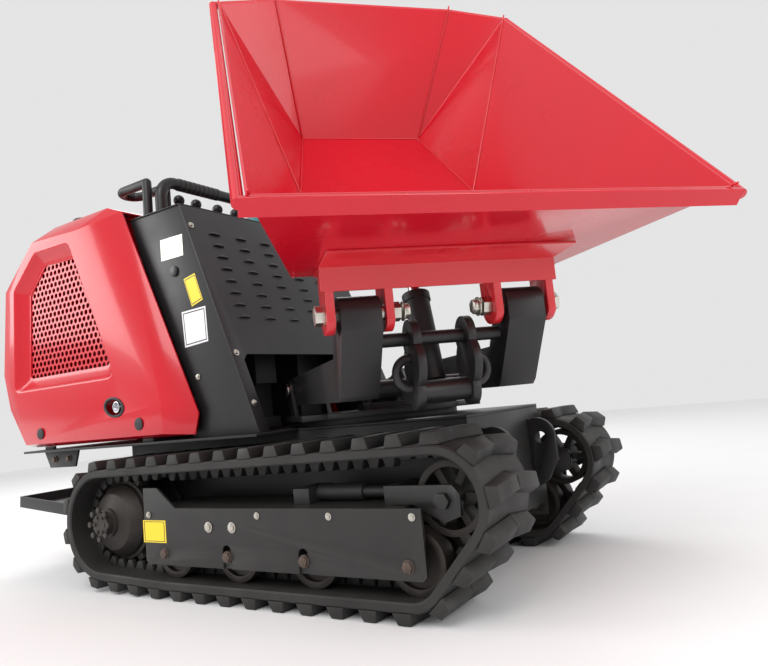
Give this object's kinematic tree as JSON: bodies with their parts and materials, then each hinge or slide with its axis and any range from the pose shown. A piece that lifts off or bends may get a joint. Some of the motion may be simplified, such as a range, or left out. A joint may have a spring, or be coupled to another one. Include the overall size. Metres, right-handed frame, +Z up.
{
  "type": "tracked power wheelbarrow",
  "caption": "Rubber-tracked power barrow: swivelling lift arms carry a tipping skip in front of an engine cover, louvred panel and handlebar.",
  "frame": {"origin": "on the ground plane, under the slew axis of the turntable", "axes": "+X the way the machine travels, +Y its left side, +Z up"},
  "size_m": [1.9922, 1.2179, 1.2776],
  "materials": {
    "red_paint": "gloss",
    "black_powder": "satin",
    "grey_powder": "satin",
    "track_rubber": "matt",
    "rubber_trim": "matt",
    "zinc_plate": "bright zinc",
    "chrome_steel": "polished",
    "teal_cast": "painted teal",
    "dark_cast": "satin black",
    "black_plastic": "satin"
  },
  "bodies": {
    "chassis": {"chassis_frame": "black_powder", "deck_plate": "black_powder", "front_guard": "black_powder", "tow_hitch": "black_powder", "track_frame_right": "black_powder", "track_frame_left": "black_powder", "track_belt_right": "track_rubber", "track_belt_left": "track_rubber", "idler_yoke_right": "black_powder", "idler_yoke_left": "black_powder", "track_tensioners": "dark_cast", "roller_axles": "zinc_plate", "drive_motors": "dark_cast", "engine": "dark_cast", "muffler": "chrome_steel", "hydraulic_pump": "dark_cast", "hydraulic_tank": "dark_cast", "valve_block": "teal_cast", "louvred_panel": "grey_powder", "side_panels": "black_powder", "top_cover": "black_powder", "handlebar": "black_powder", "grip_loops": "black_powder", "platform_pins": "black_powder", "slew_ring": "dark_cast"},
    "sprocket_right": {"sprocket_right": "dark_cast"},
    "sprocket_left": {"sprocket_left": "dark_cast"},
    "idler_right": {"idler_right": "dark_cast"},
    "roller_right_1": {"roller_right_1": "dark_cast"},
    "roller_right_2": {"roller_right_2": "dark_cast"},
    "roller_right_3": {"roller_right_3": "dark_cast"},
    "roller_right_4": {"roller_right_4": "dark_cast"},
    "idler_left": {"idler_left": "dark_cast"},
    "roller_left_1": {"roller_left_1": "dark_cast"},
    "roller_left_2": {"roller_left_2": "dark_cast"},
    "roller_left_3": {"roller_left_3": "dark_cast"},
    "roller_left_4": {"roller_left_4": "dark_cast"},
    "hood": {"hood": "red_paint", "grilles": "red_paint", "hood_plugs": "rubber_trim"},
    "fuel_cap": {"fuel_cap": "rubber_trim"},
    "lever_travel_right": {"lever_travel_right": "black_plastic"},
    "lever_travel_left": {"lever_travel_left": "black_plastic"},
    "lever_lift": {"lever_lift": "black_plastic"},
    "lever_tip": {"lever_tip": "black_plastic"},
    "throttle_lever": {"throttle_lever": "black_plastic"},
    "platform": {"platform": "black_powder"},
    "turntable": {"turntable": "black_powder", "arm_pins": "zinc_plate"},
    "arms": {"lift_arms": "black_powder", "link_plates": "black_powder", "hoses": "rubber_trim"},
    "skip": {"skip_shell": "red_paint", "skip_rim": "red_paint", "skip_subframe": "red_paint", "skip_pins": "zinc_plate"},
    "lift_barrel": {"lift_barrel": "dark_cast"},
    "lift_rod": {"lift_rod": "chrome_steel"},
    "tip_barrel": {"tip_barrel": "dark_cast"},
    "tip_rod": {"tip_rod": "chrome_steel"}
  },
  "joints": [
    {"name": "sprocket_spin_right", "type": "hinge", "parent": "chassis", "child": "sprocket_right", "pos_m": [-0.572, -0.291, 0.1576], "axis": [0, 1, 0], "continuous": true},
    {"name": "idler_spin_right", "type": "hinge", "parent": "chassis", "child": "idler_right", "pos_m": [0.348, -0.291, 0.2042], "axis": [0, 1, 0], "continuous": true},
    {"name": "roller_spin_right_1", "type": "hinge", "parent": "chassis", "child": "roller_right_1", "pos_m": [-0.345, -0.291, 0.0983], "axis": [0, 1, 0], "continuous": true},
    {"name": "roller_spin_right_2", "type": "hinge", "parent": "chassis", "child": "roller_right_2", "pos_m": [-0.152, -0.291, 0.0983], "axis": [0, 1, 0], "continuous": true},
    {"name": "roller_spin_right_3", "type": "hinge", "parent": "chassis", "child": "roller_right_3", "pos_m": [0.051, -0.291, 0.0983], "axis": [0, 1, 0], "continuous": true},
    {"name": "roller_spin_right_4", "type": "hinge", "parent": "chassis", "child": "roller_right_4", "pos_m": [0.282, -0.291, 0.0983], "axis": [0, 1, 0], "continuous": true},
    {"name": "sprocket_spin_left", "type": "hinge", "parent": "chassis", "child": "sprocket_left", "pos_m": [-0.572, 0.291, 0.1576], "axis": [0, 1, 0], "continuous": true},
    {"name": "idler_spin_left", "type": "hinge", "parent": "chassis", "child": "idler_left", "pos_m": [0.348, 0.291, 0.2042], "axis": [0, 1, 0], "continuous": true},
    {"name": "roller_spin_left_1", "type": "hinge", "parent": "chassis", "child": "roller_left_1", "pos_m": [-0.345, 0.291, 0.0983], "axis": [0, 1, 0], "continuous": true},
    {"name": "roller_spin_left_2", "type": "hinge", "parent": "chassis", "child": "roller_left_2", "pos_m": [-0.152, 0.291, 0.0983], "axis": [0, 1, 0], "continuous": true},
    {"name": "roller_spin_left_3", "type": "hinge", "parent": "chassis", "child": "roller_left_3", "pos_m": [0.051, 0.291, 0.0983], "axis": [0, 1, 0], "continuous": true},
    {"name": "roller_spin_left_4", "type": "hinge", "parent": "chassis", "child": "roller_left_4", "pos_m": [0.282, 0.291, 0.0983], "axis": [0, 1, 0], "continuous": true},
    {"name": "hood_hinge", "type": "hinge", "parent": "chassis", "child": "hood", "pos_m": [-0.951, 0, 0.349], "axis": [0, -1, 0], "range_deg": [0, 45]},
    {"name": "fuel_cap_turn", "type": "hinge", "parent": "hood", "child": "fuel_cap", "pos_m": [-0.745, -0.262, 0.9513], "axis": [0, 0, 1], "range_deg": [0, 90]},
    {"name": "lever_travel_right_swing", "type": "hinge", "parent": "chassis", "child": "lever_travel_right", "pos_m": [-0.484, -0.15, 0.8813], "axis": [0, 1, 0], "range_deg": [-12, 12]},
    {"name": "lever_travel_left_swing", "type": "hinge", "parent": "chassis", "child": "lever_travel_left", "pos_m": [-0.484, -0.09, 0.8813], "axis": [0, 1, 0], "range_deg": [-12, 12]},
    {"name": "lever_lift_swing", "type": "hinge", "parent": "chassis", "child": "lever_lift", "pos_m": [-0.484, -0.01, 0.8813], "axis": [0, 1, 0], "range_deg": [-12, 12]},
    {"name": "lever_tip_swing", "type": "hinge", "parent": "chassis", "child": "lever_tip", "pos_m": [-0.484, 0.06, 0.8813], "axis": [0, 1, 0], "range_deg": [-12, 12]},
    {"name": "throttle_lever_swing", "type": "hinge", "parent": "chassis", "child": "throttle_lever", "pos_m": [-0.484, 0.15, 0.8813], "axis": [0, 1, 0], "range_deg": [-12, 12]},
    {"name": "platform_fold", "type": "hinge", "parent": "chassis", "child": "platform", "pos_m": [-0.712, 0, 0.232], "axis": [0, 1, 0], "range_deg": [0, 14]},
    {"name": "slew", "type": "hinge", "parent": "chassis", "child": "turntable", "pos_m": [0, 0, 0.354], "axis": [0, 0, 1], "range_deg": [-36, 120.4]},
    {"name": "arm_lift", "type": "hinge", "parent": "turntable", "child": "arms", "pos_m": [-0.10371, 0.09404, 0.432], "axis": [-0.6717, -0.7408, 0], "range_deg": [0, 24]},
    {"name": "skip_tip", "type": "hinge", "parent": "arms", "child": "skip", "pos_m": [0.38418, -0.34835, 0.5303], "axis": [0.6717, 0.7408, 0], "range_deg": [-32, 28]},
    {"name": "lift_barrel_pivot", "type": "hinge", "parent": "turntable", "child": "lift_barrel", "pos_m": [0.02963, -0.02687, 0.398], "axis": [-0.6717, -0.7408, 0], "range_deg": [-1, 36]},
    {"name": "lift_rod_slide", "type": "slide", "parent": "lift_barrel", "child": "lift_rod", "axis": [0.7376, -0.6688, 0.0927], "range_m": [-0.001, 0.044]},
    {"name": "tip_barrel_pivot", "type": "hinge", "parent": "arms", "child": "tip_barrel", "pos_m": [0.32966, -0.29892, 0.391], "axis": [0.6717, 0.7408, 0], "range_deg": [-22, 19]},
    {"name": "tip_rod_slide", "type": "slide", "parent": "tip_barrel", "child": "tip_rod", "axis": [-0.2216, 0.201, 0.9542], "range_m": [-0.0655, 0.0575]}
  ],
  "couplings": [
    {"joint": "lift_barrel_pivot", "follows": "arm_lift", "ratio": 1.4728},
    {"joint": "lift_rod_slide", "follows": "arm_lift", "m_per_rad": 0.10276},
    {"joint": "tip_barrel_pivot", "follows": "skip_tip", "ratio": 0.6653},
    {"joint": "tip_rod_slide", "follows": "skip_tip", "m_per_rad": 0.11632}
  ]
}
